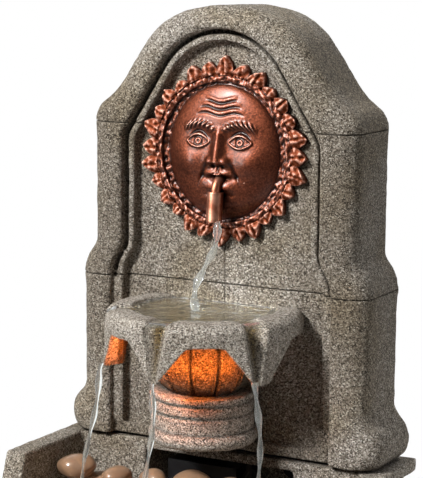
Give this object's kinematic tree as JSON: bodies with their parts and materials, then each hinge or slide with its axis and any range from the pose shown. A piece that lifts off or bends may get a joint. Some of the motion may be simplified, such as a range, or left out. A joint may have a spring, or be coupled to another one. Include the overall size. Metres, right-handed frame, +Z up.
{
  "type": "tabletop fountain",
  "caption": "Cast-stone tabletop fountain: an arched back wall with a copper sun mask spout pours into a lit bowl over a pebble basin with a hidden pump.",
  "frame": {"origin": "on the table under the middle of the basin", "axes": "+Z up, +X along the wall to the right as seen from the front, -Y toward the front"},
  "size_m": [0.27, 0.206, 0.3943],
  "materials": {
    "cast_stone": "rough, speckled",
    "pebble": "polished, wet",
    "antique_copper": "antique satin",
    "copper_tube": "satin",
    "amber_lens": "clear amber",
    "black_rubber": "matte",
    "clear_hose": "milky",
    "black_plastic": "fine texture",
    "grey_plastic": "fine texture",
    "white_plastic": "moulded",
    "steel": "satin",
    "core_iron": "laminated, sealed",
    "shaft_ceramic": "ground",
    "magnet": "sintered"
  },
  "bodies": {
    "fountain": {"basin": "cast_stone", "basin_feet": "black_rubber", "cord_grommet": "black_rubber", "wall_gasket": "black_rubber", "back_wall": "cast_stone", "wall_bolts": "steel", "rear_cover": "grey_plastic", "cover_screws": "steel", "sun_mask": "antique_copper", "mask_studs": "steel", "spout_tube": "copper_tube", "spout_sleeve": "copper_tube", "delivery_hose": "clear_hose", "hose_clip": "black_plastic", "bowl": "cast_stone", "ribbed_cup": "cast_stone", "corbel": "cast_stone", "bowl_bolts": "steel", "lamp_housing": "black_plastic", "lamp_lens": "amber_lens", "lamp_lead": "black_rubber", "pump_body": "black_plastic", "pump_cap": "black_plastic", "stator_core": "core_iron", "pump_cover": "black_plastic", "pump_shaft": "shaft_ceramic", "shaft_bushes": "black_rubber", "suction_cups": "black_rubber", "pebbles": "pebble"},
    "rotor": {"impeller": "white_plastic", "rotor_magnet": "magnet"},
    "dial": {"flow_dial": "grey_plastic"}
  },
  "joints": [
    {"name": "impeller_spin", "type": "hinge", "parent": "fountain", "child": "rotor", "pos_m": [0, 0.07, 0.0375], "axis": [1, 0, 0], "continuous": true},
    {"name": "flow_dial_turn", "type": "hinge", "parent": "fountain", "child": "dial", "pos_m": [0.0135, 0.07, 0.0375], "axis": [1, 0, 0], "range_deg": [0, 30]}
  ]
}
